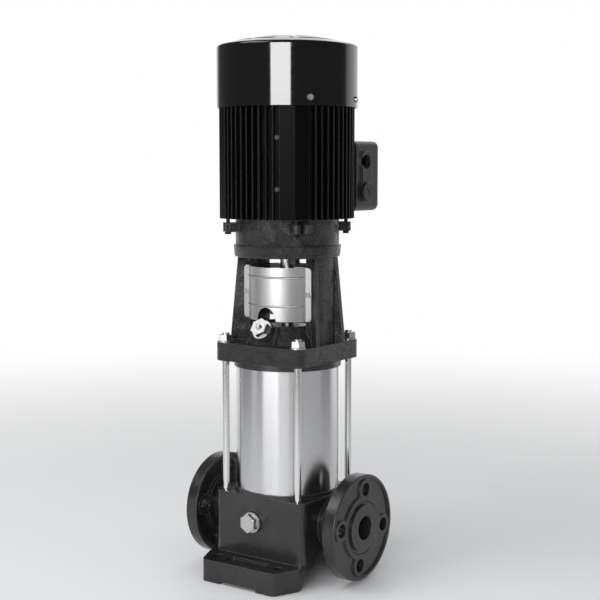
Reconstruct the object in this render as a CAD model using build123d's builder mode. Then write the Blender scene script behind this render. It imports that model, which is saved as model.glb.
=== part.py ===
"""Vertical in-line multistage pump with a flange motor, modelled as its separate pieces.

Frame: +Z up along the shaft, origin under the middle of the base. The outlet neck points
along +X, the inlet neck along -X, the drain and priming plugs face -Y and the terminal box +Y.
"""

import os
from math import asin, cos, degrees, radians, sin, sqrt

from build123d import *

os.makedirs("parts", exist_ok=True)

# ---- fits -------------------------------------------------------------------------------
running_fit = 0.05  # radial gap of a shaft in a bush
slip_fit = 0.1  # radial gap between pieces that slide together and stay still
body_gap = 0.3  # gap between pieces that move past each other

# ---- base casting -----------------------------------------------------------------------
port_span = 250.0  # end face to end face of the two necks
port_height = 75.0
port_bore = 32.0
port_bore_length = 65.0
passage_radius = 18.0
bolt_spacing_x = 100.0
bolt_spacing_y = 180.0
base_bolt_hole = 13.0
foot_height = 29.7
foot_length = 224.8
foot_end_width = 116.0
foot_width = 146.6
foot_flare_y = 78.0
block_width = 146.6
block_depth = 135.6
block_corner = 12.0
block_top = 112.0
tunnel_radius = 96.0
tunnel_crown = 35.0
neck_radius = 31.0
inlet_well_radius = 22.0
gallery_inner = 34.0
gallery_outer = 60.0
gallery_depth = 18.0
sleeve_seat_height = 5.0
sleeve_seat_depth = 3.0

# ---- loose flanges ----------------------------------------------------------------------
flange_diameter = 140.0
flange_thickness = 18.0
flange_setback = 3.0  # neck face stands this far proud of the flange
flange_circle = 100.0
flange_holes = 4
flange_hole = 18.0
flange_hub_radius = 42.0
flange_rim = 4.5
flange_boss_radius = 14.0
flange_front_relief = 2.5
flange_back_relief = 6.0
flange_turn = -7.6  # both flanges, seen about +X
retaining_ring_width = 4.0
retaining_ring_inner = 28.5
retaining_ring_outer = 34.5

# ---- sleeve and tie rods ----------------------------------------------------------------
sleeve_radius = 69.0
sleeve_wall = 2.0
sleeve_seal = 1.0
head_underside = 283.5
head_lip_radius = 72.0
head_lip_drop = 2.5
rod_offset = 59.0
rod_radius = 4.6
rod_thread_radius = 5.0
rod_root_radius = 4.1
rod_root_length = 12.0
rod_engagement = 20.0
nut_flats = 17.0
nut_height = 8.0
washer_radius = 10.8
washer_height = 2.0
stud_end = 2.6

# ---- motor stool ------------------------------------------------------------------------
plate_bottom = 289.0
plate_height = 24.0
plate_width = 142.4
plate_corner = 14.0
hub_foot_radius = 62.0
hub_top_radius = 46.0
hub_height = 24.0
hub_rib_height = 3.5
hub_rib_width = 3.0
hub_rib_angle = 25.0  # each rib from its diagonal
stool_bore = 40.0
column_inner = 46.0
column_wall_radius = 66.0
column_half_width = 19.5
web_start = 55.5
web_face = 22.3
web_top = (63.2, 26.2)
web_foot = (70.6, 34.0)
ring_bottom = 427.0
ring_height = 15.0
ring_radius = 71.5
ring_bore = 47.0
stool_bolt_circle = 115.0
stool_bolt_radius = 4.0
stool_bolt_flats = 13.0
stool_bolt_head = 6.5

# ---- plugs ------------------------------------------------------------------------------
plug_flats = 22.0
plug_thread_radius = 8.3
plug_head = 8.0
plug_collar_radius = 13.5
plug_collar = 3.5
plug_seal = 1.5
drain_x = -6.0
drain_z = 78.0
priming_tilt = 35.0  # above the horizontal
priming_reach = 64.0  # hex face centre from the shaft axis
priming_z = 338.0
boss_radius = 14.5
vent_thread_radius = 2.5
vent_flats = 7.0
vent_head = 3.5

# ---- guards -----------------------------------------------------------------------------
guard_bottom = 343.5
guard_height = 70.5
guard_sheet = 1.2
guard_strip_outer = 55.0
guard_edge_x = 46.1  # where the bow meets the flat strips
guard_bow = 49.0
guard_corner = 5.0
guard_bead_radius = 1.4
guard_bead_inset = 13.0
notch_width = 30.0
notch_height = 18.0
guard_screw_radius = 2.0
guard_screw_head = 3.6

# ---- hydraulics -------------------------------------------------------------------------
stages = 5
stage_pitch = 27.0
chamber_radius = 55.0
chamber_wall = 1.5
inlet_chamber_height = 20.0
impeller_radius = 46.0
impeller_eye = 19.0
impeller_hub = 12.5
impeller_width = 8.0
shroud = 1.2
impeller_blades = 6
guide_blades = 6
blade_wall = 1.6
pump_shaft_radius = 8.0
bush_radius = 12.0
seat_radius = 16.0
seal_radius = 14.0
chimney_top = 334.0
chimney_wall = 5.7
chimney_roof = 8.0

# ---- coupling ---------------------------------------------------------------------------
coupling_radius = 27.0
coupling_bottom = 350.0
coupling_height = 60.0
coupling_split = 1.5
clamp_screw_radius = 3.0
clamp_head_radius = 5.0
clamp_head_length = 6.0
clamp_x = 18.5
clamp_inset = 13.0
motor_shaft_radius = 9.5

# ---- motor ------------------------------------------------------------------------------
shield_radius = 69.0
shield_wall = 9.0
shield_plate = 10.0
shield_top = 477.6
lug_reach = 79.0
lug_radius = 6.6
lug_spread = 7.2
lug_turn = 4.6  # from the diagonal, in degrees
lug_bottom = 460.0
lug_top = 472.0
frame_top = 626.0
frame_bore = 72.0
frame_shell = 78.0
fin_radius = 89.0
fin_thickness = 1.7
fin_step = 6.0  # degrees
pad_angle = 48.0
pad_half_angle = 12.0
pad_crown = 91.0
box_pad_half_width = 38.0
core_bottom = 512.0
core_length = 90.0
core_bore = 45.0
rotor_radius = 44.7
core_slots = 24
slot_width = 6.0
slot_outer = 60.0
winding_overhang = 16.0
bearing_bore = 10.0
bearing_outer = 23.5
bearing_width = 14.0
bearing_race = 3.6
bearing_shield_gap = 0.4
shaft_body = 16.0
drive_bearing_z = 452.0
rear_shield_height = 20.0
ear_angles = (-36.0, 19.0, 144.0, 199.0)
ear_half_width = 8.0
ear_height = 12.0
cover_screw_z = 632.0
fan_bottom = 656.0
fan_height = 28.0
fan_radius = 82.0
fan_blades = 7
cover_radius = 93.0
cover_sheet = 1.5
cover_bottom = 622.0
cover_edge = 702.0
cover_dome = 13.5
cover_shoulder = 4.0
grille_rings = (72.0, 56.0, 40.0, 24.0)
grille_slot = 7.0
grille_spoke = 7.0
grille_spokes = 8
foot_screw_angles = (-117.0, -63.0, 3.0, 177.0)
foot_screw_heights = (516.5, 582.0)

# ---- terminal box -----------------------------------------------------------------------
box_half_width = 52.0
box_back = 88.5
box_split = 125.5
cover_depth = 21.7
cover_round = 7.0
box_bottom = 484.5
box_height = 95.5
box_wall = 3.0
box_corner = 9.0
gasket = 0.8
entry_radius = 10.0
entry_set_back = 15.8  # entry axes behind the cover's joint
entry_z = 552.0
blank_z = 511.4
blank_head_radius = 13.0
blank_head = 3.5
entry_pad = 3.0
entry_collar = 2.0  # inside the wall, round each threaded entry
entry_collar_wall = 3.5
entry_pad_depth = 23.7
entry_pad_margin = 1.0  # left between the raised pad and the cover's joint
entry_pad_z = (496.7, 566.0)

# ---- heights and planes that follow from the sizes above ----------------------------------
plate_top = plate_bottom + plate_height
hub_top = plate_top + hub_height
ring_top = ring_bottom + ring_height
guard_top = guard_bottom + guard_height
guard_screw_x = (guard_edge_x + guard_strip_outer) / 2
bow_depth = guard_bow - web_face - guard_sheet
bow_radius = (guard_edge_x**2 + bow_depth**2) / (2 * bow_depth)
bow_centre = bow_radius - guard_bow
bow_inner_x = sqrt((bow_radius - guard_sheet) ** 2 - (web_face + bow_centre) ** 2)
neck_face = port_span / 2
flange_front = neck_face - flange_setback
flange_back = flange_front - flange_thickness
ring_back = flange_front - retaining_ring_width - 0.5
tunnel_centre = tunnel_crown - tunnel_radius
sleeve_seat = block_top + sleeve_seat_height - sleeve_seat_depth
sleeve_foot = sleeve_seat + sleeve_seal
sleeve_top = head_underside - sleeve_seal
stack_foot = block_top + inlet_chamber_height
stack_top = stack_foot + stages * stage_pitch
frame_bottom = shield_top
core_top = core_bottom + core_length
rear_shield_top = frame_top + rear_shield_height
rear_bearing_z = rear_shield_top - bearing_width - 2
shaft_end = fan_bottom + fan_height - 6
box_front = box_split + gasket + cover_depth
entry_y = box_split - entry_set_back
entry_pad_y = (box_split - entry_pad_margin - entry_pad_depth, box_split - entry_pad_margin)
corners = [(x, y) for x in (-rod_offset, rod_offset) for y in (-rod_offset, rod_offset)]
priming_direction = Vector(0, -cos(radians(priming_tilt)), sin(radians(priming_tilt)))
priming_face = Vector(0, -priming_reach, priming_z)
priming_seat = priming_face - priming_direction * (plug_head + plug_collar + plug_seal)


def finish(solid, name):
    """Labels a finished piece and writes it to its own file."""
    solid.label = name
    export_step(solid, f"parts/{name}.step")


def section_ring(inner, outer, low, high):
    """A rectangle in the XZ plane, ready to be revolved about Z. Used inside a sketch."""
    with Locations(((inner + outer) / 2, (low + high) / 2)):
        Rectangle(outer - inner, high - low)


def turned_plane(x, turn, outward):
    """The plane across a neck at x, with its own X axis turned from +Y by the given angle."""
    across = (0, cos(radians(turn)), sin(radians(turn)))
    return Plane(origin=(x, 0, port_height), x_dir=across, z_dir=(outward, 0, 0))


# ---- pump base --------------------------------------------------------------------------
foot_half = foot_length / 2
foot_corners = [
    (-foot_end_width / 2, -foot_half),
    (foot_end_width / 2, -foot_half),
    (foot_width / 2, -foot_flare_y),
    (foot_width / 2, foot_flare_y),
    (foot_end_width / 2, foot_half),
    (-foot_end_width / 2, foot_half),
    (-foot_width / 2, foot_flare_y),
    (-foot_width / 2, -foot_flare_y),
]

with BuildPart() as pump_base:
    with BuildSketch():
        with BuildLine():
            FilletPolyline(*foot_corners, radius=8, close=True)
        make_face()
    extrude(amount=foot_height)
    with BuildSketch():
        RectangleRounded(block_width, block_depth, block_corner)
    extrude(amount=block_top)
    with BuildSketch(Plane.XY.offset(block_top)):
        Circle(head_lip_radius - 1)
    extrude(amount=sleeve_seat_height)
    # collars where the necks leave the block, then the necks themselves
    with BuildSketch(Plane.YZ.offset(-block_width / 2 - 7)):
        with Locations((0, port_height)):
            Circle(neck_radius + 4)
    extrude(amount=block_width + 14)
    with BuildSketch(Plane.YZ.offset(-neck_face)):
        with Locations((0, port_height)):
            Circle(neck_radius)
    extrude(amount=port_span)
    # arched tunnel from port side to port side
    with BuildSketch(Plane.YZ.offset(-port_span)):
        with Locations((0, tunnel_centre)):
            Circle(tunnel_radius)
    extrude(amount=2 * port_span, mode=Mode.SUBTRACT)
    # seat of the sleeve and the return gallery inside it
    with BuildSketch(Plane.XY.offset(sleeve_seat)):
        Circle(sleeve_radius + slip_fit)
        Circle(sleeve_radius - sleeve_wall - slip_fit, mode=Mode.SUBTRACT)
    extrude(amount=sleeve_seat_height, mode=Mode.SUBTRACT)
    with BuildSketch(Plane.XY.offset(block_top)):
        Circle(sleeve_radius - sleeve_wall - 3)
    extrude(amount=sleeve_seat_height, mode=Mode.SUBTRACT)
    with BuildSketch(Plane.XY.offset(block_top - gallery_depth)):
        Circle(gallery_outer)
        Circle(gallery_inner, mode=Mode.SUBTRACT)
    extrude(amount=gallery_depth, mode=Mode.SUBTRACT)
    # inlet passage and its well
    with BuildSketch(Plane.YZ.offset(-neck_face)):
        with Locations((0, port_height)):
            Circle(port_bore / 2)
    extrude(amount=port_bore_length, mode=Mode.SUBTRACT)
    with BuildSketch(Plane.YZ.offset(-neck_face + port_bore_length)):
        with Locations((0, port_height)):
            Circle(passage_radius)
    extrude(amount=neck_face - port_bore_length, mode=Mode.SUBTRACT)
    with BuildSketch(Plane.XY.offset(port_height - passage_radius)):
        Circle(inlet_well_radius)
    extrude(amount=block_top, mode=Mode.SUBTRACT)
    # outlet passage up into the gallery
    with BuildSketch(Plane.YZ.offset(neck_face - port_bore_length)):
        with Locations((0, port_height)):
            Circle(port_bore / 2)
    extrude(amount=port_bore_length, mode=Mode.SUBTRACT)
    with BuildSketch(Plane.YZ.offset(gallery_inner + 4)):
        with Locations((0, port_height)):
            Circle(passage_radius)
    extrude(amount=neck_face - port_bore_length - gallery_inner - 4, mode=Mode.SUBTRACT)
    with BuildSketch(Plane.XY.offset(port_height)):
        with Locations(((gallery_inner + 4 + gallery_outer) / 2, 0)):
            Rectangle(gallery_outer - gallery_inner - 4, 2 * passage_radius)
    extrude(amount=block_top - port_height, mode=Mode.SUBTRACT)
    # grooves for the rings that hold the loose flanges
    for side in (-1, 1):
        with BuildSketch(Plane.YZ.offset(side * (ring_back + retaining_ring_width / 2))):
            with Locations((0, port_height)):
                Circle(neck_radius + 1)
                Circle(retaining_ring_inner, mode=Mode.SUBTRACT)
        extrude(amount=retaining_ring_width / 2, both=True, mode=Mode.SUBTRACT)
    # drain hole, rod holes, foundation holes and the reliefs of the foot
    with BuildSketch(Plane.XZ.offset(block_depth / 2)):
        with Locations((drain_x, drain_z)):
            Circle(plug_collar_radius + 1.5)
    extrude(amount=1.5)
    with BuildSketch(Plane.XZ.offset(block_depth / 2 + 1.5)):
        with Locations((drain_x, drain_z)):
            Circle(plug_thread_radius)
    extrude(amount=-block_depth / 2, mode=Mode.SUBTRACT)
    with BuildSketch(Plane.XY.offset(block_top - rod_engagement)):
        with Locations(*corners):
            Circle(rod_root_radius)
    extrude(amount=rod_engagement, mode=Mode.SUBTRACT)
    with BuildSketch():
        with GridLocations(bolt_spacing_x, bolt_spacing_y, 2, 2):
            Circle(base_bolt_hole / 2)
    extrude(amount=foot_height, mode=Mode.SUBTRACT)
    with BuildSketch():
        Rectangle(60, foot_length + 2)
    extrude(amount=3.5, mode=Mode.SUBTRACT)
    with BuildSketch(Plane.XY.offset(foot_height - 3)):
        with GridLocations(0, bolt_spacing_y + 6, 1, 2):
            RectangleRounded(62, 22, 5)
    extrude(amount=3, mode=Mode.SUBTRACT)
finish(pump_base.part, "pump_base")


def hex_plug(name, seat, direction, bore=0):
    """A threaded plug: shank, round collar and hexagon head, with its sealing ring below."""
    below = Plane(origin=seat, z_dir=direction)
    with BuildPart() as ring:
        with BuildSketch(below):
            Circle(plug_collar_radius - 1)
            Circle(plug_thread_radius, mode=Mode.SUBTRACT)
        extrude(amount=plug_seal)
    finish(ring.part, f"{name}_seal")
    with BuildPart() as plug:
        with BuildSketch(below.offset(-14)):
            Circle(plug_thread_radius)
        extrude(amount=14 + plug_seal)
        with BuildSketch(below.offset(plug_seal)):
            Circle(plug_collar_radius)
        extrude(amount=plug_collar)
        with BuildSketch(below.offset(plug_seal + plug_collar)):
            RegularPolygon(plug_flats / 2, 6, major_radius=False)
        extrude(amount=plug_head)
        with BuildSketch(below.offset(plug_seal + plug_collar + plug_head)):
            Circle(plug_flats / 2 - 0.6)
        extrude(amount=0.6)
        if bore:
            with BuildSketch(below.offset(-14)):
                Circle(bore)
            extrude(amount=16 + plug_seal + plug_collar + plug_head, mode=Mode.SUBTRACT)
    finish(plug.part, name)


hex_plug("drain_plug", (drain_x, -block_depth / 2 - 1.5, drain_z), (0, -1, 0))


# ---- loose flanges and the rings that hold them -------------------------------------------
def loose_flange(name, side, turn):
    """A ring that turns on its neck: rim, hub and hole bosses stand above a thinner web."""
    back = turned_plane(side * flange_back, turn, side)
    web_outer = flange_diameter / 2 - flange_rim
    with BuildPart() as flange:
        with BuildSketch(back):
            Circle(flange_diameter / 2)
        extrude(amount=flange_thickness)
        for start, depth in (
            (0, flange_back_relief),
            (flange_thickness - flange_front_relief, flange_front_relief),
        ):
            with BuildSketch(back.offset(start)):
                Circle(web_outer)
                Circle(flange_hub_radius, mode=Mode.SUBTRACT)
                with PolarLocations(flange_circle / 2, flange_holes):
                    Circle(flange_boss_radius, mode=Mode.SUBTRACT)
            extrude(amount=depth, mode=Mode.SUBTRACT)
        with BuildSketch(back):
            Circle(neck_radius + body_gap)
            with PolarLocations(flange_circle / 2, flange_holes):
                Circle(flange_hole / 2)
        extrude(amount=flange_thickness, mode=Mode.SUBTRACT)
        with BuildSketch(back.offset(ring_back - flange_back - body_gap)):
            Circle(retaining_ring_outer + 0.8)
        extrude(amount=flange_thickness, mode=Mode.SUBTRACT)
        edges = flange.edges().filter_by(GeomType.CIRCLE)
        rim = [e for e in edges if abs(e.radius - flange_diameter / 2) < 0.1]
        chamfer(rim, 1.2)
    finish(flange.part, name)


loose_flange("outlet_flange", 1, flange_turn)
loose_flange("inlet_flange", -1, flange_turn)

with BuildPart() as neck_retaining_rings:
    for side in (-1, 1):
        with BuildSketch(turned_plane(side * ring_back, 0, side)):
            Circle(retaining_ring_outer)
            Circle(retaining_ring_inner, mode=Mode.SUBTRACT)
            Rectangle(3 * retaining_ring_outer, 1.2, mode=Mode.SUBTRACT)
        extrude(amount=retaining_ring_width)
finish(neck_retaining_rings.part, "neck_retaining_rings")

# ---- sleeve and tie rods ------------------------------------------------------------------
with BuildPart() as outer_sleeve:
    with BuildSketch(Plane.XY.offset(sleeve_foot)):
        Circle(sleeve_radius)
        Circle(sleeve_radius - sleeve_wall, mode=Mode.SUBTRACT)
    extrude(amount=sleeve_top - sleeve_foot)
finish(outer_sleeve.part, "outer_sleeve")

with BuildPart() as tie_rods:
    rod_foot = block_top - rod_engagement
    rod_shoulder = block_top + rod_root_length
    rod_end = plate_top + washer_height + nut_height + stud_end
    with BuildSketch(Plane.XY.offset(rod_foot)):
        with Locations(*corners):
            Circle(rod_root_radius)
    extrude(amount=rod_shoulder - rod_foot)
    with BuildSketch(Plane.XY.offset(rod_shoulder)):
        with Locations(*corners):
            Circle(rod_radius)
    extrude(amount=plate_bottom - 4 - rod_shoulder)
    with BuildSketch(Plane.XY.offset(plate_bottom - 4)):
        with Locations(*corners):
            Circle(rod_thread_radius)
    extrude(amount=rod_end - plate_bottom + 4)
finish(tie_rods.part, "tie_rods")

with BuildPart() as tie_rod_washers:
    with BuildSketch(Plane.XY.offset(plate_top)):
        with Locations(*corners):
            Circle(washer_radius)
            Circle(rod_thread_radius + slip_fit, mode=Mode.SUBTRACT)
    extrude(amount=washer_height)
finish(tie_rod_washers.part, "tie_rod_washers")

with BuildPart() as tie_rod_nuts:
    with BuildSketch(Plane.XY.offset(plate_top + washer_height)):
        with Locations(*corners):
            RegularPolygon(nut_flats / 2, 6, major_radius=False, rotation=15)
            Circle(rod_thread_radius, mode=Mode.SUBTRACT)
    extrude(amount=nut_height)
    # the hexagon's corners are turned off by a cone, as on a forged nut
    for x, y in corners:
        with BuildSketch(Plane(origin=(x, y, 0), x_dir=(1, 0, 0), z_dir=(0, -1, 0))):
            with BuildLine():
                top = plate_top + washer_height + nut_height
                Polyline(
                    (nut_flats / 2, top),
                    (nut_flats / 2 + 3, top),
                    (nut_flats / 2 + 3, top - 1.73),
                    close=True,
                )
            make_face()
        revolve(axis=Axis((x, y, 0), (0, 0, 1)), mode=Mode.SUBTRACT)
finish(tie_rod_nuts.part, "tie_rod_nuts")

# ---- pump head ------------------------------------------------------------------------------
chimney_inner = stool_bore - slip_fit - chimney_wall
with BuildPart() as pump_head:
    with BuildSketch(Plane.XZ):
        section_ring(chimney_inner, head_lip_radius, head_underside, plate_bottom)
        section_ring(
            sleeve_radius + slip_fit,
            head_lip_radius,
            head_underside - head_lip_drop,
            head_underside,
        )
        section_ring(chimney_inner, stool_bore - slip_fit, plate_bottom, chimney_top)
        section_ring(
            seat_radius, stool_bore - slip_fit, chimney_top - chimney_roof, chimney_top
        )
    revolve(axis=Axis.Z)
    with BuildSketch(Plane(origin=priming_seat, z_dir=priming_direction)):
        Circle(plug_thread_radius)
    extrude(amount=-52, mode=Mode.SUBTRACT)
finish(pump_head.part, "pump_head")

with BuildPart() as sleeve_seals:
    for height in (sleeve_seat, sleeve_top):
        with BuildSketch(Plane.XY.offset(height)):
            Circle(sleeve_radius)
            Circle(sleeve_radius - sleeve_wall, mode=Mode.SUBTRACT)
        extrude(amount=sleeve_seal)
finish(sleeve_seals.part, "sleeve_seals")


# ---- motor stool ----------------------------------------------------------------------------
def web_outline(side, front, tip):
    """Plan of one column web, with its tip at the given corner."""
    x, y = tip
    inner_y = column_half_width - 1.5
    return [
        (side * column_inner, front * web_face),
        (side * web_start, front * web_face),
        (side * x, front * y),
        (side * (x + 0.3), front * (y - 6.7)),
        (side * 60, front * inner_y),
        (side * column_inner, front * inner_y),
    ]


with BuildPart() as motor_stool:
    with BuildSketch(Plane.XY.offset(plate_bottom)):
        RectangleRounded(plate_width, plate_width, plate_corner)
    extrude(amount=plate_height)
    with BuildSketch(Plane.XZ):
        with BuildLine():
            Polyline(
                (stool_bore, plate_top - 1),
                (hub_foot_radius, plate_top - 1),
                (hub_foot_radius, plate_top),
                (hub_top_radius, hub_top),
                (stool_bore, hub_top),
                close=True,
            )
        make_face()
    revolve(axis=Axis.Z)
    # radial ribs on the cone, two beside each diagonal
    for diagonal in (45, 135, 225, 315):
        for rib in (diagonal - hub_rib_angle, diagonal + hub_rib_angle):
            direction = (cos(radians(rib)), sin(radians(rib)), 0)
            normal = (sin(radians(rib)), -cos(radians(rib)), 0)
            with BuildSketch(Plane(origin=(0, 0, 0), x_dir=direction, z_dir=normal)):
                with BuildLine():
                    Polyline(
                        (stool_bore + 2, plate_top - 1),
                        (hub_foot_radius + hub_rib_height + 0.7, plate_top - 1),
                        (hub_top_radius + hub_rib_height, hub_top),
                        (stool_bore + 2, hub_top),
                        close=True,
                    )
                make_face()
            extrude(amount=hub_rib_width / 2, both=True)
    # columns: a round outer wall with a flaring web on each side
    for side in (-1, 1):
        with BuildSketch(Plane.XY.offset(plate_top)):
            with Locations((side * (column_inner + 12), 0)):
                Rectangle(24, 2 * column_half_width)
            Circle(column_wall_radius, mode=Mode.INTERSECT)
            Circle(column_inner + 2, mode=Mode.SUBTRACT)
        extrude(amount=ring_bottom - plate_top)
        for front in (-1, 1):
            with BuildSketch(Plane.XY.offset(plate_top)):
                with BuildLine():
                    Polyline(*web_outline(side, front, web_foot), close=True)
                make_face()
            with BuildSketch(Plane.XY.offset(ring_bottom)):
                with BuildLine():
                    Polyline(*web_outline(side, front, web_top), close=True)
                make_face()
            loft(ruled=True)
    # top ring with its small under-lip and the motor's register
    with BuildSketch(Plane.XZ):
        with BuildLine():
            Polyline(
                (ring_bore, ring_bottom),
                (ring_radius - 2.2, ring_bottom),
                (ring_radius - 1.2, ring_bottom + 1),
                (ring_radius, ring_top - 2),
                (ring_radius, ring_top),
                (ring_bore, ring_top),
                close=True,
            )
        make_face()
    revolve(axis=Axis.Z)
    # boss of the priming plug
    with BuildSketch(Plane(origin=priming_seat, z_dir=priming_direction)):
        Circle(boss_radius)
    extrude(amount=-26)
    # bores and holes
    with BuildSketch(Plane.XY.offset(plate_bottom)):
        Circle(stool_bore)
    extrude(amount=hub_top + 20 - plate_bottom, mode=Mode.SUBTRACT)
    with BuildSketch(Plane(origin=priming_seat, z_dir=priming_direction)):
        Circle(plug_thread_radius)
    extrude(amount=-50, mode=Mode.SUBTRACT)
    with BuildSketch(Plane.XY.offset(plate_bottom)):
        with Locations(*corners):
            Circle(rod_thread_radius + slip_fit)
    extrude(amount=plate_height, mode=Mode.SUBTRACT)
    with BuildSketch(Plane.XY.offset(ring_bottom)):
        with PolarLocations(stool_bolt_circle / 2, 4, start_angle=45):
            Circle(stool_bolt_radius + slip_fit)
    extrude(amount=ring_height, mode=Mode.SUBTRACT)
    with BuildSketch(Plane.XZ.offset(-web_face - 1)):
        with Locations(*[(x, guard_bottom + guard_height / 2) for x in (-guard_screw_x, guard_screw_x)]):
            Circle(guard_screw_radius)
    extrude(amount=2 * web_face + 2, mode=Mode.SUBTRACT)
finish(motor_stool.part, "motor_stool")

hex_plug("priming_plug", priming_seat, priming_direction, vent_thread_radius + slip_fit)

with BuildPart() as vent_screw:
    vent_plane = Plane(origin=priming_face, z_dir=priming_direction)
    with BuildSketch(vent_plane.offset(-16)):
        Circle(vent_thread_radius)
    extrude(amount=17.6)
    with BuildSketch(vent_plane.offset(1.0)):
        RegularPolygon(vent_flats / 2, 6, major_radius=False)
    extrude(amount=vent_head)
    with BuildSketch(vent_plane.offset(vent_head)):
        Rectangle(vent_flats + 2, 1.0)
    extrude(amount=1.2, mode=Mode.SUBTRACT)
finish(vent_screw.part, "vent_screw")

with BuildPart() as stool_bolts:
    with BuildSketch(Plane.XY.offset(ring_bottom - stool_bolt_head)):
        with PolarLocations(stool_bolt_circle / 2, 4, start_angle=45):
            RegularPolygon(stool_bolt_flats / 2, 6, major_radius=False)
    extrude(amount=stool_bolt_head)
    with BuildSketch(Plane.XY.offset(ring_bottom)):
        with PolarLocations(stool_bolt_circle / 2, 4, start_angle=45):
            Circle(stool_bolt_radius)
    extrude(amount=ring_height + shield_plate - 1)
finish(stool_bolts.part, "stool_bolts")


# ---- coupling guards --------------------------------------------------------------------------
def coupling_guard(name, front):
    """A sheet guard: flat strips on the column webs and a bowed face between them."""
    near, far = -web_face, -web_face - guard_sheet
    with BuildPart() as guard:
        with BuildSketch(Plane.XY.offset(guard_bottom)):
            with BuildLine():
                Polyline(
                    (-guard_edge_x, far),
                    (-guard_strip_outer, far),
                    (-guard_strip_outer, near),
                    (-bow_inner_x, near),
                )
                ThreePointArc(
                    (-bow_inner_x, near), (0, guard_sheet - guard_bow), (bow_inner_x, near)
                )
                Polyline(
                    (bow_inner_x, near),
                    (guard_strip_outer, near),
                    (guard_strip_outer, far),
                    (guard_edge_x, far),
                )
                ThreePointArc((guard_edge_x, far), (0, -guard_bow), (-guard_edge_x, far))
            make_face()
        extrude(amount=guard_height)
        # rounded outer corners of the strips
        upright = guard.edges().filter_by(Axis.Y).group_by(Axis.X)
        fillet(upright[0] + upright[-1], guard_corner)
        # arched notch over the priming plug
        with BuildSketch(Plane.XZ):
            with Locations((0, guard_bottom)):
                Ellipse(notch_width / 2, notch_height)
        extrude(amount=guard_bow + 1, mode=Mode.SUBTRACT)
        with BuildSketch(Plane.XZ):
            middle = guard_bottom + guard_height / 2
            with Locations((-guard_screw_x, middle), (guard_screw_x, middle)):
                Circle(guard_screw_radius)
        extrude(amount=guard_bow + 1, mode=Mode.SUBTRACT)
        # two pressed beads round the bow
        half_angle = degrees(asin(guard_edge_x / bow_radius)) - 4
        for height in (guard_bottom + guard_bead_inset + 7, guard_top - guard_bead_inset):
            centre = (0, bow_centre, height)
            with BuildLine():
                bead = CenterArc(centre, bow_radius - 0.2, -90 - half_angle, 2 * half_angle)
            with BuildSketch(Plane(origin=bead @ 0, z_dir=bead % 0)):
                Circle(guard_bead_radius)
            sweep(path=bead.edges()[0])
    piece = guard.part if front else guard.part.rotate(Axis.Z, 180)
    finish(piece, name)


coupling_guard("coupling_guard_front", True)
coupling_guard("coupling_guard_rear", False)

with BuildPart() as guard_screws:
    for side in (-1, 1):
        face = Plane(
            origin=(0, side * (web_face + guard_sheet), guard_bottom + guard_height / 2),
            x_dir=(1, 0, 0),
            z_dir=(0, side, 0),
        )
        with BuildSketch(face):
            with Locations((-guard_screw_x, 0), (guard_screw_x, 0)):
                Circle(guard_screw_head)
        extrude(amount=2.2)
        with BuildSketch(face):
            with Locations((-guard_screw_x, 0), (guard_screw_x, 0)):
                Circle(guard_screw_radius)
        extrude(amount=-(web_face + guard_sheet - column_half_width + 4))
        with BuildSketch(face.offset(1.0)):
            with Locations((-guard_screw_x, 0), (guard_screw_x, 0)):
                Rectangle(4.2, 1.0)
                Rectangle(1.0, 4.2)
        extrude(amount=1.4, mode=Mode.SUBTRACT)
finish(guard_screws.part, "guard_screws")

# ---- stage stack --------------------------------------------------------------------------------
with BuildPart() as inlet_chamber:
    with BuildSketch(Plane.XZ):
        section_ring(inlet_well_radius, gallery_inner, block_top, block_top + 3)
        section_ring(
            gallery_inner - 3, gallery_inner, block_top + 3, stack_foot - 3
        )
        section_ring(impeller_eye + 1, chamber_radius, stack_foot - 3, stack_foot)
        section_ring(bush_radius, bush_radius + 3, block_top, stack_foot)
    revolve(axis=Axis.Z)
    with BuildSketch(Plane.XY.offset(block_top)):
        for turn in (0, 60, 120):
            Rectangle(2 * inlet_well_radius + 4, 3, rotation=turn)
        Circle(bush_radius + 1, mode=Mode.SUBTRACT)
    extrude(amount=10)
finish(inlet_chamber.part, "inlet_chamber")

with BuildPart() as bottom_bearing:
    with BuildSketch(Plane.XZ):
        section_ring(
            pump_shaft_radius + running_fit, bush_radius, block_top + 1, stack_foot - 1
        )
    revolve(axis=Axis.Z)
finish(bottom_bearing.part, "bottom_bearing")


def blade_points(inner, outer, sweep_back, wall):
    """Start, middle and end of both faces of a curved blade, in plan."""
    turn = radians(sweep_back)
    mid_radius = (inner + outer) / 2
    start = (inner, 0)
    middle = (mid_radius * cos(turn * 0.38), mid_radius * sin(turn * 0.38))
    end = (outer * cos(turn), outer * sin(turn))
    lean = wall if sweep_back > 0 else -wall
    start_2 = (inner - 0.3, lean)
    middle_2 = (middle[0] - wall * 0.6, middle[1] + lean * 0.8)
    end_2 = (end[0] - wall * 0.9, end[1] + lean * 0.2)
    return start, middle, end, start_2, middle_2, end_2


def stage_chamber(number):
    """A pressed bowl: outer wall, a partition over the impeller below, and guide blades."""
    low = stack_foot + number * stage_pitch
    partition = low + stage_pitch - 3
    with BuildPart() as chamber:
        with BuildSketch(Plane.XZ):
            section_ring(chamber_radius - chamber_wall, chamber_radius, low, low + stage_pitch)
            section_ring(impeller_eye + 2, chamber_radius, partition, partition + chamber_wall)
        revolve(axis=Axis.Z)
        with BuildSketch(Plane.XY.offset(partition - 6)):
            with BuildLine():
                a, b, c, d, e, f = blade_points(
                    impeller_eye + 4, chamber_radius - 1, 48, blade_wall
                )
                ThreePointArc(a, b, c)
                Line(c, f)
                ThreePointArc(f, e, d)
                Line(d, a)
            blade = make_face().face()
            with PolarLocations(0, guide_blades):
                add(blade)
        extrude(amount=6)
    finish(chamber.part, f"stage_chamber_{number + 1}")


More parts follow.
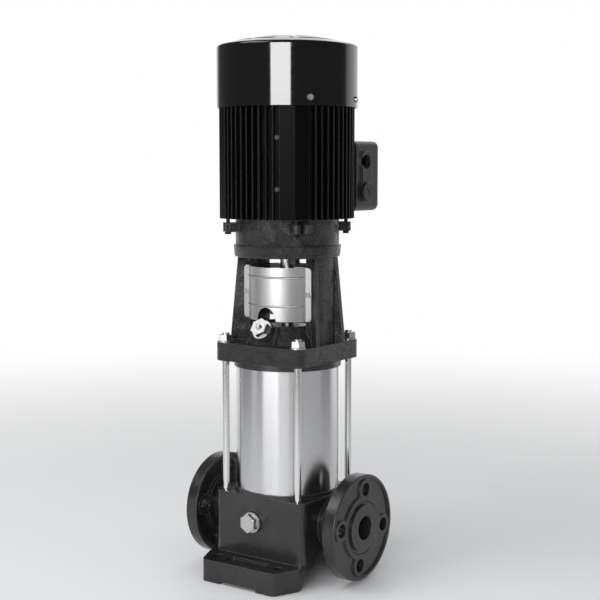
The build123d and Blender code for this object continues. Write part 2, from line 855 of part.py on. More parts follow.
def impeller(number):
    """A closed impeller: two shrouds, backward blades, an eye below and a hub on the shaft."""
    low = stack_foot + number * stage_pitch + 4
    high = low + impeller_width + 2 * shroud
    with BuildPart() as wheel:
        with BuildSketch(Plane.XZ):
            section_ring(impeller_eye, impeller_radius, low, low + shroud)
            section_ring(pump_shaft_radius, impeller_radius, high - shroud, high)
            section_ring(pump_shaft_radius, impeller_hub, low - 2, high + 3)
            section_ring(impeller_eye - shroud, impeller_eye, low - 2.5, low + shroud)
        revolve(axis=Axis.Z)
        with BuildSketch(Plane.XY.offset(low + shroud / 2)):
            with BuildLine():
                a, b, c, d, e, f = blade_points(
                    impeller_hub - 1, impeller_radius - 0.5, -70, blade_wall
                )
                ThreePointArc(a, b, c)
                Line(c, f)
                ThreePointArc(f, e, d)
                Line(d, a)
            blade = make_face().face()
            with PolarLocations(0, impeller_blades):
                add(blade)
        extrude(amount=impeller_width + shroud)
    finish(wheel.part, f"impeller_{number + 1}")


for number in range(stages):
    stage_chamber(number)
    impeller(number)

with BuildPart() as discharge_chamber:
    with BuildSketch(Plane.XZ):
        section_ring(chimney_inner + 4, chamber_radius, stack_top, stack_top + 2)
        section_ring(chamber_radius - 3, chamber_radius, stack_top, head_underside)
    revolve(axis=Axis.Z)
    with BuildSketch(Plane.XY.offset(stack_top + 4)):
        for turn in (0, 45, 90, 135):
            Rectangle(3 * chamber_radius, 16, rotation=turn)
    extrude(amount=head_underside - stack_top - 7, mode=Mode.SUBTRACT)
finish(discharge_chamber.part, "discharge_chamber")

shaft_foot = block_top + 1
coupling_middle = coupling_bottom + coupling_height / 2
coupling_top = coupling_bottom + coupling_height
with BuildPart() as pump_shaft:
    with BuildSketch(Plane.XY.offset(shaft_foot)):
        Circle(pump_shaft_radius)
    extrude(amount=coupling_middle - 2 - shaft_foot)
finish(pump_shaft.part, "pump_shaft")

seat_face = chimney_top - chimney_roof
with BuildPart() as seal_seat:
    with BuildSketch(Plane.XZ):
        section_ring(pump_shaft_radius + 0.6, seat_radius, seat_face, chimney_top)
    revolve(axis=Axis.Z)
finish(seal_seat.part, "seal_seat")

with BuildPart() as rotating_seal:
    with BuildSketch(Plane.XZ):
        section_ring(pump_shaft_radius, seal_radius, seat_face - 6, seat_face - 0.1)
        section_ring(pump_shaft_radius, seal_radius - 3, seat_face - 24, seat_face - 6)
        section_ring(pump_shaft_radius, seal_radius, seat_face - 30, seat_face - 24)
        for coil in range(4):
            section_ring(
                seal_radius - 3.2, seal_radius - 0.8, seat_face - 22 + 4 * coil, seat_face - 20 + 4 * coil
            )
    revolve(axis=Axis.Z)
finish(rotating_seal.part, "rotating_seal")


# ---- coupling -------------------------------------------------------------------------------
def coupling_half(name, side):
    """Half of the rigid coupling that clamps both shafts, split along the XZ plane."""
    with BuildPart() as half:
        with BuildSketch(Plane.XY.offset(coupling_bottom)):
            Circle(coupling_radius)
            with Locations((0, -side * (2 * coupling_radius - coupling_split) / 2)):
                Rectangle(3 * coupling_radius, 2 * coupling_radius, mode=Mode.SUBTRACT)
        extrude(amount=coupling_height)
        chamfer(half.edges().filter_by(GeomType.CIRCLE), 1.0)
        with BuildSketch(Plane.XY.offset(coupling_bottom)):
            Circle(pump_shaft_radius)
        extrude(amount=coupling_height, mode=Mode.SUBTRACT)
        with BuildSketch(Plane.XY.offset(coupling_middle)):
            Circle(motor_shaft_radius)
        extrude(amount=coupling_height, mode=Mode.SUBTRACT)
        heights = (coupling_bottom + clamp_inset, coupling_top - clamp_inset)
        with BuildSketch(Plane.XZ.offset(-coupling_radius)):
            with Locations(*[(x, z) for x in (-clamp_x, clamp_x) for z in heights]):
                Circle(clamp_screw_radius)
        extrude(amount=2 * coupling_radius, mode=Mode.SUBTRACT)
        if side < 0:
            with BuildSketch(Plane.XZ.offset(9)):
                with Locations(*[(x, z) for x in (-clamp_x, clamp_x) for z in heights]):
                    Circle(clamp_head_radius + 0.3)
            extrude(amount=coupling_radius, mode=Mode.SUBTRACT)
    finish(half.part, name)


coupling_half("coupling_half_front", -1)
coupling_half("coupling_half_rear", 1)

with BuildPart() as coupling_screws:
    heights = (coupling_bottom + clamp_inset, coupling_top - clamp_inset)
    spots = [(x, z) for x in (-clamp_x, clamp_x) for z in heights]
    with BuildSketch(Plane.XZ.offset(-14)):
        with Locations(*spots):
            Circle(clamp_screw_radius)
    extrude(amount=23)
    with BuildSketch(Plane.XZ.offset(9)):
        with Locations(*spots):
            Circle(clamp_head_radius)
    extrude(amount=clamp_head_length)
    with BuildSketch(Plane.XZ.offset(9 + clamp_head_length - 3)):
        with Locations(*spots):
            RegularPolygon(2.5, 6, major_radius=False)
    extrude(amount=3, mode=Mode.SUBTRACT)
finish(coupling_screws.part, "coupling_screws")

# ---- motor: shields and frame -----------------------------------------------------------------
lug_angles = [diagonal + lug_turn for diagonal in (45, 135, 225, 315)]
lug_bolts = [
    (
        lug_reach * cos(radians(angle)) + lug_spread * sin(radians(angle)),
        lug_reach * sin(radians(angle)) - lug_spread * cos(radians(angle)),
    )
    for angle in lug_angles
]
drive_bearing_top = drive_bearing_z + bearing_width
with BuildPart() as drive_end_shield:
    with BuildSketch(Plane.XZ):
        section_ring(motor_shaft_radius + 1.5, shield_radius, ring_top, ring_top + shield_plate)
        section_ring(
            shield_radius - shield_wall, shield_radius, ring_top, shield_top
        )
        section_ring(
            bearing_outer, bearing_outer + 8, ring_top, drive_bearing_top + 2
        )
        section_ring(
            shield_radius - shield_wall, frame_bore - slip_fit, shield_top, shield_top + 8
        )
    revolve(axis=Axis.Z)
    for angle in lug_angles:
        for lean in (-1, 1):
            along = Vector(cos(radians(angle)), sin(radians(angle)))
            across = Vector(-along.Y, along.X)
            spot = along * lug_reach + across * (lean * lug_spread)
            root = along * (shield_radius - 4) + across * (lean * lug_spread)
            with BuildSketch(Plane.XY.offset(lug_bottom)):
                with Locations((spot.X, spot.Y)):
                    Circle(lug_radius)
                with Locations(((spot.X + root.X) / 2, (spot.Y + root.Y) / 2)):
                    Rectangle(lug_reach - shield_radius + 4, 2 * lug_radius, rotation=angle)
            extrude(amount=lug_top - lug_bottom)
    with BuildSketch(Plane.XY.offset(drive_bearing_z)):
        Circle(bearing_outer)
    extrude(amount=drive_bearing_top + 4 - drive_bearing_z, mode=Mode.SUBTRACT)
    with BuildSketch(Plane.XY.offset(ring_top)):
        with PolarLocations(stool_bolt_circle / 2, 4, start_angle=45):
            Circle(stool_bolt_radius)
    extrude(amount=shield_plate - 1, mode=Mode.SUBTRACT)
    with BuildSketch(Plane.XY.offset(lug_bottom)):
        with Locations(*lug_bolts):
            Circle(2.6)
    extrude(amount=lug_top - lug_bottom, mode=Mode.SUBTRACT)
finish(drive_end_shield.part, "drive_end_shield")

pad_angles = (pad_angle, 180 - pad_angle, 180 + pad_angle, -pad_angle)


def is_fin(angle):
    """Fins stand at every step except on the corner pads and under the terminal box."""
    on_pad = any(
        abs((angle - pad + 180) % 360 - 180) < pad_half_angle - 0.1 for pad in pad_angles
    )
    under_box = abs(fin_radius * cos(radians(angle))) < box_pad_half_width and sin(radians(angle)) > 0
    return not on_pad and not under_box


with BuildPart() as motor_frame:
    fin_angles = [k * fin_step for k in range(round(360 / fin_step)) if is_fin(k * fin_step)]
    with BuildSketch(Plane.XY.offset(frame_bottom)):
        Circle(frame_shell)
        fin_length = fin_radius - frame_shell + 2
        for angle in fin_angles:
            with PolarLocations(fin_radius - fin_length / 2, 1, start_angle=angle):
                Rectangle(fin_length, fin_thickness)
        for pad in pad_angles:
            with BuildLine():
                points = [
                    (radius * cos(radians(pad + turn)), radius * sin(radians(pad + turn)))
                    for radius, turn in (
                        (frame_shell - 3, -pad_half_angle),
                        (fin_radius, -pad_half_angle),
                        (pad_crown, 0),
                        (fin_radius, pad_half_angle),
                        (frame_shell - 3, pad_half_angle),
                    )
                ]
                Polyline(*points, close=True)
            make_face()
        Circle(frame_bore, mode=Mode.SUBTRACT)
    extrude(amount=frame_top - frame_bottom)
    # flat pad that carries the terminal box
    with BuildSketch(Plane.XY.offset(box_bottom + 6)):
        with Locations((0, (frame_shell - 8 + box_back) / 2)):
            Rectangle(2 * box_pad_half_width, box_back - frame_shell + 8)
        Circle(frame_shell - 2, mode=Mode.SUBTRACT)
    extrude(amount=box_height - 12)
    # passage for the leads
    with BuildSketch(Plane.XZ.offset(-frame_bore + 10)):
        with Locations((0, box_bottom + box_height / 2)):
            Circle(11)
    extrude(amount=-(box_back - frame_bore + 12), mode=Mode.SUBTRACT)
    with BuildSketch(Plane.XY.offset(frame_bottom)):
        with Locations(*lug_bolts):
            Circle(2.5)
    extrude(amount=14, mode=Mode.SUBTRACT)
finish(motor_frame.part, "motor_frame")

with BuildPart() as shield_bolts:
    with BuildSketch(Plane.XY.offset(lug_bottom - 3.5)):
        with Locations(*lug_bolts):
            RegularPolygon(4.0, 6, major_radius=False)
    extrude(amount=3.5)
    with BuildSketch(Plane.XY.offset(lug_bottom)):
        with Locations(*lug_bolts):
            Circle(2.5)
    extrude(amount=frame_bottom - lug_bottom + 12)
finish(shield_bolts.part, "shield_bolts")

with BuildPart() as frame_screws:
    for angle in foot_screw_angles:
        for height in foot_screw_heights:
            outward = (cos(radians(angle)), sin(radians(angle)), 0)
            face = Plane(
                origin=(frame_shell * outward[0], frame_shell * outward[1], height),
                z_dir=outward,
            )
            with BuildSketch(face):
                Circle(3.0)
            extrude(amount=7.0)
finish(frame_screws.part, "frame_screws")

with BuildPart() as non_drive_end_shield:
    with BuildSketch(Plane.XZ):
        section_ring(shaft_body + 1, frame_shell + 4, frame_top, frame_top + 6)
        section_ring(
            frame_bore - 8, frame_bore - slip_fit, frame_top - 6, frame_top
        )
        section_ring(
            bearing_outer, bearing_outer + 7, frame_top, rear_shield_top
        )
    revolve(axis=Axis.Z)
    for angle in ear_angles:
        reach = cover_radius - cover_sheet - slip_fit
        with BuildSketch(Plane.XY.offset(frame_top)):
            with PolarLocations((frame_shell + reach) / 2 - 3, 1, start_angle=angle):
                Rectangle(reach - frame_shell + 10, 2 * ear_half_width)
            Circle(reach, mode=Mode.INTERSECT)
        extrude(amount=ear_height)
    with BuildSketch(Plane.XY.offset(rear_bearing_z)):
        Circle(bearing_outer)
    extrude(amount=rear_shield_height + 1, mode=Mode.SUBTRACT)
    for angle in ear_angles:
        outward = (cos(radians(angle)), sin(radians(angle)), 0)
        with BuildSketch(Plane(origin=(0, 0, cover_screw_z), z_dir=outward).offset(frame_shell + 2)):
            Circle(2.0)
        extrude(amount=30, mode=Mode.SUBTRACT)
finish(non_drive_end_shield.part, "non_drive_end_shield")

# ---- motor: stator and rotor --------------------------------------------------------------------
with BuildPart() as stator_core:
    with BuildSketch(Plane.XY.offset(core_bottom)):
        Circle(frame_bore)
        Circle(core_bore, mode=Mode.SUBTRACT)
        with PolarLocations((core_bore + slot_outer) / 2 + 1, core_slots):
            Rectangle(slot_outer - core_bore - 2, slot_width, mode=Mode.SUBTRACT)
        with PolarLocations(core_bore + 1, core_slots):
            Rectangle(4, 1.6, mode=Mode.SUBTRACT)
    extrude(amount=core_length)
finish(stator_core.part, "stator_core")

with BuildPart() as stator_windings:
    with BuildSketch(Plane.XY.offset(core_bottom - 1)):
        with PolarLocations((core_bore + slot_outer) / 2 + 1, core_slots):
            Rectangle(slot_outer - core_bore - 2.4, slot_width - 0.4)
    extrude(amount=core_length + 2)
    with BuildSketch(Plane.XZ):
        section_ring(
            core_bore + 2.2, slot_outer + 3, core_bottom - winding_overhang, core_bottom - 0.2
        )
        section_ring(
            core_bore + 2.2, slot_outer + 3, core_top + 0.2, core_top + winding_overhang
        )
    revolve(axis=Axis.Z)
finish(stator_windings.part, "stator_windings")

with BuildPart() as motor_shaft:
    with BuildSketch(Plane.XZ):
        section_ring(0, motor_shaft_radius, coupling_middle, drive_bearing_z)
        section_ring(0, bearing_bore, drive_bearing_z, drive_bearing_top)
        section_ring(0, shaft_body, drive_bearing_top, rear_bearing_z)
        section_ring(0, bearing_bore, rear_bearing_z, shaft_end)
    revolve(axis=Axis.Z)
finish(motor_shaft.part, "motor_shaft")

with BuildPart() as rotor_core:
    with BuildSketch(Plane.XZ):
        section_ring(shaft_body, rotor_radius, core_bottom, core_top)
        section_ring(30, rotor_radius - 2, core_bottom - 7, core_top + 7)
    revolve(axis=Axis.Z)
finish(rotor_core.part, "rotor_core")

with BuildPart() as bearing_outer_rings:
    shield_bore = bearing_bore + bearing_race + bearing_shield_gap
    for low in (drive_bearing_z, rear_bearing_z):
        with BuildSketch(Plane.XZ):
            section_ring(shield_bore, bearing_outer, low, low + bearing_width)
        revolve(axis=Axis.Z)
finish(bearing_outer_rings.part, "bearing_outer_rings")

with BuildPart() as bearing_inner_rings:
    for low in (drive_bearing_z, rear_bearing_z):
        with BuildSketch(Plane.XZ):
            section_ring(bearing_bore, bearing_bore + bearing_race, low, low + bearing_width)
        revolve(axis=Axis.Z)
finish(bearing_inner_rings.part, "bearing_inner_rings")

with BuildPart() as cooling_fan:
    with BuildSketch(Plane.XZ):
        section_ring(bearing_bore, 22, fan_bottom, fan_bottom + 22)
        section_ring(bearing_bore, fan_radius - 8, fan_bottom, fan_bottom + 3)
    revolve(axis=Axis.Z)
    with BuildSketch(Plane.XY.offset(fan_bottom)):
        with PolarLocations((fan_radius + 18) / 2, fan_blades):
            Rectangle(fan_radius - 18, 2.6)
    extrude(amount=fan_height)
finish(cooling_fan.part, "cooling_fan")

# ---- fan cover ------------------------------------------------------------------------------------
dome_radius = (cover_radius**2 + cover_dome**2) / (2 * cover_dome)
dome_centre = cover_edge + cover_dome - dome_radius


def cover_section(offset):
    """Foot, rim, haunch and crown of the cover's outside, or of its inside one sheet in."""
    wall = cover_radius - offset
    ball = dome_radius - offset
    rim = dome_centre + sqrt(ball**2 - wall**2)
    haunch = dome_centre + sqrt(ball**2 - wall**2 / 4)
    return (wall, cover_bottom), (wall, rim), (wall / 2, haunch), (0, dome_centre + ball)


with BuildPart() as fan_cover:
    foot, rim, haunch, crown = cover_section(0)
    with BuildSketch(Plane.XZ) as cover_outside:
        with BuildLine():
            Polyline(crown, (0, cover_bottom), foot, rim)
            ThreePointArc(rim, haunch, crown)
        make_face()
        fillet(cover_outside.vertices().sort_by_distance(rim)[0], cover_shoulder)
    revolve(axis=Axis.Z)
    foot, rim, haunch, crown = cover_section(cover_sheet)
    with BuildSketch(Plane.XZ) as cover_inside:
        with BuildLine():
            Polyline(crown, (0, cover_bottom), foot, rim)
            ThreePointArc(rim, haunch, crown)
        make_face()
        fillet(cover_inside.vertices().sort_by_distance(rim)[0], cover_shoulder - cover_sheet)
    revolve(axis=Axis.Z, mode=Mode.SUBTRACT)
    # intake grille: rings of curved slots with spokes left between them
    with BuildSketch(Plane.XY.offset(cover_edge - 6)):
        for radius in grille_rings:
            Circle(radius + grille_slot / 2)
            Circle(radius - grille_slot / 2, mode=Mode.SUBTRACT)
        with PolarLocations(cover_radius / 2, grille_spokes):
            Rectangle(cover_radius, grille_spoke, mode=Mode.SUBTRACT)
    extrude(amount=30, mode=Mode.SUBTRACT)
    for angle in ear_angles:
        outward = (cos(radians(angle)), sin(radians(angle)), 0)
        with BuildSketch(Plane(origin=(0, 0, cover_screw_z), z_dir=outward).offset(cover_radius - 4)):
            Circle(2.2)
        extrude(amount=8, mode=Mode.SUBTRACT)
finish(fan_cover.part, "fan_cover")

with BuildPart() as fan_cover_screws:
    for angle in ear_angles:
        outward = (cos(radians(angle)), sin(radians(angle)), 0)
        face = Plane(origin=(0, 0, cover_screw_z), z_dir=outward).offset(cover_radius)
        with BuildSketch(face):
            Circle(4.0)
        extrude(amount=2.4)
        with BuildSketch(face):
            Circle(2.0)
        extrude(amount=-11)
        with BuildSketch(face.offset(1.2)):
            Rectangle(5.0, 1.1)
            Rectangle(1.1, 5.0)
        extrude(amount=1.4, mode=Mode.SUBTRACT)
finish(fan_cover_screws.part, "fan_cover_screws")

# ---- terminal box ---------------------------------------------------------------------------------
box_middle = box_bottom + box_height / 2
with BuildPart() as terminal_box:
    with BuildSketch(Plane.XZ.offset(-box_back)):
        with Locations((0, box_middle)):
            RectangleRounded(2 * box_half_width, box_height, box_corner)
    extrude(amount=-(box_split - box_back))
    with BuildSketch(Plane.YZ.offset(box_half_width - 1)):
        with Locations((sum(entry_pad_y) / 2, sum(entry_pad_z) / 2)):
            RectangleRounded(
                entry_pad_y[1] - entry_pad_y[0], entry_pad_z[1] - entry_pad_z[0], 5
            )
    extrude(amount=entry_pad + 1)
    with BuildSketch(Plane.XZ.offset(-box_back - box_wall)):
        with Locations((0, box_middle)):
            RectangleRounded(
                2 * (box_half_width - box_wall), box_height - 2 * box_wall, box_corner - box_wall
            )
    extrude(amount=-(box_split - box_back), mode=Mode.SUBTRACT)
    with BuildSketch(Plane.YZ.offset(box_half_width - box_wall - entry_collar)):
        with Locations((entry_y, entry_z), (entry_y, blank_z)):
            Circle(entry_radius + entry_collar_wall)
        with Locations(((box_back + box_split) / 2, box_middle)):
            Rectangle(box_split - box_back, box_height, mode=Mode.INTERSECT)
    extrude(amount=entry_collar + 1)
    with BuildSketch(Plane.YZ.offset(box_half_width - box_wall - entry_collar)):
        with Locations((entry_y, entry_z), (entry_y, blank_z)):
            Circle(entry_radius)
    extrude(amount=entry_collar + box_wall + entry_pad, mode=Mode.SUBTRACT)
    with BuildSketch(Plane.XZ.offset(-box_back)):
        with Locations((0, box_middle)):
            Circle(11)
    extrude(amount=-box_wall, mode=Mode.SUBTRACT)
finish(terminal_box.part, "terminal_box")

with BuildPart() as terminal_box_gasket:
    with BuildSketch(Plane.XZ.offset(-box_split)):
        with Locations((0, box_middle)):
            RectangleRounded(2 * box_half_width - 1, box_height - 1, box_corner)
            RectangleRounded(
                2 * (box_half_width - box_wall),
                box_height - 2 * box_wall,
                box_corner - box_wall,
                mode=Mode.SUBTRACT,
            )
    extrude(amount=-gasket)
finish(terminal_box_gasket.part, "terminal_box_gasket")

with BuildPart() as terminal_box_cover:
    with BuildSketch(Plane.XZ.offset(-box_split - gasket)):
        with Locations((0, box_middle)):
            RectangleRounded(2 * box_half_width, box_height, box_corner)
    extrude(amount=-(box_front - box_split - gasket))
    fillet(terminal_box_cover.faces().sort_by(Axis.Y)[-1].edges(), cover_round)
    with BuildSketch(Plane.XZ.offset(-box_split - gasket)):
        with Locations((0, box_middle)):
            RectangleRounded(
                2 * (box_half_width - box_wall), box_height - 2 * box_wall, box_corner - box_wall
            )
    extrude(amount=-(box_front - box_split - gasket - box_wall - 1), mode=Mode.SUBTRACT)
    with BuildSketch(Plane.XZ.offset(-box_split - gasket)):
        with Locations((0, box_middle)):
            with GridLocations(2 * box_half_width - 16, box_height - 16, 2, 2):
                Circle(5)
    extrude(amount=-(box_front - box_split - gasket - 3))
    with BuildSketch(Plane.XZ.offset(-box_split)):
        with Locations((0, box_middle)):
            with GridLocations(2 * box_half_width - 16, box_height - 16, 2, 2):
                Circle(2.1)
    extrude(amount=-40, mode=Mode.SUBTRACT)
finish(terminal_box_cover.part, "terminal_box_cover")

with BuildPart() as cover_screws:
    with BuildSketch(Plane.XZ.offset(-box_front)):
        with Locations((0, box_middle)):
            with GridLocations(2 * box_half_width - 16, box_height - 16, 2, 2):
                Circle(3.8)
    extrude(amount=-2.2)
    with BuildSketch(Plane.XZ.offset(-box_front - 1.0)):
        with Locations((0, box_middle)):
            with GridLocations(2 * box_half_width - 16, box_height - 16, 2, 2):
                Rectangle(4.8, 1.0)
                Rectangle(1.0, 4.8)
    extrude(amount=-1.4, mode=Mode.SUBTRACT)
    with BuildSketch(Plane.XZ.offset(-box_front)):
        with Locations((0, box_middle)):
            with GridLocations(2 * box_half_width - 16, box_height - 16, 2, 2):
                Circle(2.0)
    extrude(amount=box_front - box_split)
finish(cover_screws.part, "cover_screws")

with BuildPart() as cable_entry_plug:
    pad_face = Plane.YZ.offset(box_half_width + entry_pad)
    with BuildSketch(pad_face):
        with Locations((entry_y, blank_z)):
            Circle(blank_head_radius)
    extrude(amount=blank_head)
    chamfer(cable_entry_plug.faces().sort_by(Axis.X)[-1].edges(), 1.2)
    with BuildSketch(pad_face.offset(blank_head - 1.4)):
        with Locations(Location((entry_y, blank_z), -45)):
            Rectangle(11, 1.8)
    extrude(amount=1.5, mode=Mode.SUBTRACT)
    with BuildSketch(pad_face):
        with Locations((entry_y, blank_z)):
            Circle(entry_radius)
    extrude(amount=-(entry_pad + box_wall + 2))
finish(cable_entry_plug.part, "cable_entry_plug")

with BuildPart() as terminal_block:
    floor = Plane.XZ.offset(-box_back - box_wall)
    with BuildSketch(floor):
        with Locations((0, box_middle + 24)):
            Rectangle(56, 26)
    extrude(amount=-9)
    with BuildSketch(floor.offset(-9)):
        with Locations((0, box_middle + 24)):
            with GridLocations(18, 13, 3, 2):
                Circle(2.4)
    extrude(amount=-7)
finish(terminal_block.part, "terminal_block")
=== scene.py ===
"""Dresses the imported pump: materials, studio and camera. Metres, in the part's own frame."""

import bpy
from math import cos, pi, radians, sin
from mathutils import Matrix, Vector

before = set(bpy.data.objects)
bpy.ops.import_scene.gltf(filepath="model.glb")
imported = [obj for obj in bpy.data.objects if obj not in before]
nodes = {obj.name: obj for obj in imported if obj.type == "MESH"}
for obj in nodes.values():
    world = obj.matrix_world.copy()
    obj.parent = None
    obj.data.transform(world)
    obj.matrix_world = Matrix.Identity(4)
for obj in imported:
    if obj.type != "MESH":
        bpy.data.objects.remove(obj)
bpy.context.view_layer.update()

# ---- camera -----------------------------------------------------------------------------
view_turn = radians(36)  # from the front towards the outlet
view_pitch = radians(6)  # downwards
axis_left_of_centre = radians(0.56)
camera_distance = 1.709  # from the shaft axis, level
camera_height = 0.547
sensor_millimetres = 36
lens_millimetres = 76.9
upwards = Vector((0, 0, 1))


def level_towards(turn):
    """The level direction from the shaft that is turned these degrees from the camera's side."""
    angle = view_turn + radians(turn)
    return Vector((sin(angle), -cos(angle), 0))


def place(data, spot, sight):
    """Puts a camera or lamp into the scene at a spot, looking along a direction."""
    placed = bpy.data.objects.new(data.name, data)
    bpy.context.collection.objects.link(placed)
    placed.location = spot
    placed.rotation_euler = sight.to_track_quat("-Z", "Y").to_euler()
    return placed


camera_data = bpy.data.cameras.new("camera")
camera_data.sensor_width = sensor_millimetres
camera_data.lens = lens_millimetres
bpy.context.scene.camera = place(
    camera_data,
    level_towards(0) * camera_distance + upwards * camera_height,
    -level_towards(0) * cos(view_pitch)
    - upwards * sin(view_pitch)
    + level_towards(90) * sin(axis_left_of_centre),
)
bpy.context.scene.view_settings.view_transform = "Standard"


# ---- nodes ------------------------------------------------------------------------------
def put(socket, value):
    """Gives a node's input another node's output or a fixed value."""
    if isinstance(value, bpy.types.NodeSocket):
        socket.id_data.links.new(value, socket)
    elif socket.type == "RGBA":
        socket.default_value = (*value, 1)
    else:
        socket.default_value = value


def fill(node, **values):
    """Sets a node up. Names in lower case are its settings and come first; the rest are inputs."""
    for name, value in values.items():
        if name.islower():
            setattr(node, name, value)
        else:
            put(node.inputs[name.replace("_", " ")], value)
    return node


def fill_in_order(node, *values):
    """Sets a node's first inputs, where several have one name."""
    for socket, value in zip(node.inputs, values):
        put(socket, value)
    return node


def add(tree, kind, **values):
    """A new node, set up as fill does."""
    return fill(tree.nodes.new("ShaderNode" + kind), **values)


def remap(tree, value, low, high, out_low=0.0, out_high=1.0, curve="LINEAR"):
    """The value's band low to high drawn onto out_low to out_high, and level past both ends."""
    return add(
        tree, "MapRange", interpolation_type=curve, Value=value,
        From_Min=low, From_Max=high, To_Min=out_low, To_Max=out_high,
    ).outputs["Result"]


def mix(tree, factor, first, second, data_type="FLOAT"):
    """The first where the factor is 0, and the second where it is 1."""
    return add(
        tree, "Mix", data_type=data_type, Factor=factor, A=first, B=second
    ).outputs["Result"]


def times(tree, first, second):
    multiply = add(tree, "Math", operation="MULTIPLY")
    return fill_in_order(multiply, first, second).outputs["Value"]


def dot(tree, first, second):
    product = add(tree, "VectorMath", operation="DOT_PRODUCT")
    return fill_in_order(product, first, second).outputs["Value"]


def noise(tree, scale, detail, stretch=(1, 1, 1), roughness=0.55):
    """Noise in the part's own space, drawn out along the axes where stretch is small."""
    spot = add(tree, "TexCoord").outputs["Object"]
    drawn = add(tree, "Mapping", Vector=spot, Scale=stretch).outputs["Vector"]
    return add(
        tree, "TexNoise", Vector=drawn, Scale=scale, Detail=detail, Roughness=roughness
    ).outputs["Fac"]


# ---- materials --------------------------------------------------------------------------
noise_band = (0.3, 0.7)  # nearly all of a noise's values
highlight_band = (0.99, 0.82)  # cosine between the rounded and the real face, from no painted edge highlight to full
cast_highlight_radius = 0.0012
stain_scale = 18
stain_band = (0.35, 0.7)
patch_scale = 55
patch_band = (0.38, 0.62)
patch_grain = (0.35, 1.25)  # how deep the grain is outside the patches and in them
cast_shine_spread = (-0.08, 0.12)
brush_scale = 900
steel_edge = 0.0003
coat_shine_spread = (0.85, 1.2)


def shade(made, **inputs):
    """Fills inputs of the material's Principled shader."""
    fill(made.node_tree.nodes["Principled BSDF"], **inputs)


def material(name, colour, roughness, metallic=0.0, **inputs):
    """A new material with these fixed values on its Principled shader."""
    made = bpy.data.materials.new(name)
    made.use_nodes = True
    shade(made, Base_Color=colour, Roughness=roughness, Metallic=metallic, **inputs)
    return made


def bump(made, height, depth, edge):
    """Relief of this depth, over edges that look rounded to the given radius."""
    rounded = add(made.node_tree, "Bevel", Radius=edge).outputs["Normal"]
    relief = add(made.node_tree, "Bump", Height=height, Distance=depth, Normal=rounded)
    shade(made, Normal=relief.outputs["Normal"])


def painted_edge_highlights(made, radius, base, highlight_colour):
    """The base colour, mixed to a paler one along edges within the given radius: a painted
    highlight on the edges.
    """
    tree = made.node_tree
    rounded = add(tree, "Bevel", Radius=radius).outputs["Normal"]
    real = add(tree, "NewGeometry").outputs["Normal"]
    # The paler colour along the edges is a painted highlight.
    highlight_mask = remap(tree, dot(tree, rounded, real), *highlight_band)
    shade(made, Base_Color=mix(tree, highlight_mask, base, highlight_colour, "RGBA"))


def cast(name, colour, stain, highlight_colour, roughness, grain, depth, edge):
    """Painted cast iron: a skin pebbled in patches, with stains, uneven shine and a painted
    highlight along the edges.
    """
    made = material(name, colour, roughness, Specular_IOR_Level=0.55)
    tree = made.node_tree
    stained = remap(tree, noise(tree, stain_scale, 3), *stain_band)
    pebbles = noise(tree, grain, 5, roughness=0.7)
    patches = remap(tree, noise(tree, patch_scale, 2), *patch_band, *patch_grain)
    shine = remap(tree, pebbles, *noise_band, *(roughness + more for more in cast_shine_spread))
    # The edges turn paler here: a painted highlight.
    painted_edge_highlights(made, cast_highlight_radius, mix(tree, stained, colour, stain, "RGBA"), highlight_colour)
    shade(made, Roughness=shine)
    bump(made, times(tree, pebbles, patches), depth, edge)
    return made


def brushed(name, colour, roughness, stretch, depth=0.00003, spread=0.1, **inputs):
    """Steel with fine scratches, drawn out along the axes where stretch is small."""
    made = material(name, colour, roughness, 1.0, **inputs)
    tree = made.node_tree
    around = add(tree, "Tangent", direction_type="RADIAL", axis="Z").outputs["Tangent"]
    scratches = noise(tree, brush_scale, 3, stretch, 0.7)
    shine = remap(tree, scratches, *noise_band, roughness - spread / 2, roughness + spread / 2)
    shade(made, Tangent=around, Roughness=shine)
    bump(made, scratches, depth, steel_edge)
    return made


def coated(name, colour, roughness, grain, depth=0.00004, edge=0.0005, **inputs):
    """A sprayed coat or moulded skin, smooth with faint orange peel."""
    made = material(name, colour, roughness, **inputs)
    tree = made.node_tree
    peel = noise(tree, grain, 2)
    shine = remap(tree, peel, *noise_band, *(roughness * part for part in coat_shine_spread))
    shade(made, Roughness=shine)
    bump(made, peel, depth, edge)
    return made


motor_paint = (0.003, 0.003, 0.0034)
box_paint = (0.022, 0.022, 0.024)

cover_black = coated(
    "cover_black", motor_paint, 0.09, 90, depth=0.00002, Coat_Weight=0.45, Coat_Roughness=0.04
)
motor_black = coated("motor_black", motor_paint, 0.3, 260, edge=0.0008, Specular_IOR_Level=0.03)
# Thin pale lines along the fin and pad edges: a painted highlight.
painted_edge_highlights(motor_black, radius=0.0007, base=motor_paint, highlight_colour=(0.11, 0.11, 0.115))
# The pale edge colours of these two cast paints are painted highlights along their edges.
base_black = cast(
    "base_black", (0.013, 0.013, 0.014), stain=(0.022, 0.022, 0.023), highlight_colour=(0.10, 0.10, 0.104),
    roughness=0.2, grain=600, depth=0.0002, edge=0.0014,
)
stool_black = cast(
    "stool_black", (0.005, 0.005, 0.0055), stain=(0.011, 0.011, 0.012), highlight_colour=(0.08, 0.08, 0.082),
    roughness=0.21, grain=480, depth=0.0022, edge=0.0018,
)
box_grey = coated("box_grey", box_paint, 0.34, 420, depth=0.00008, edge=0.0012)
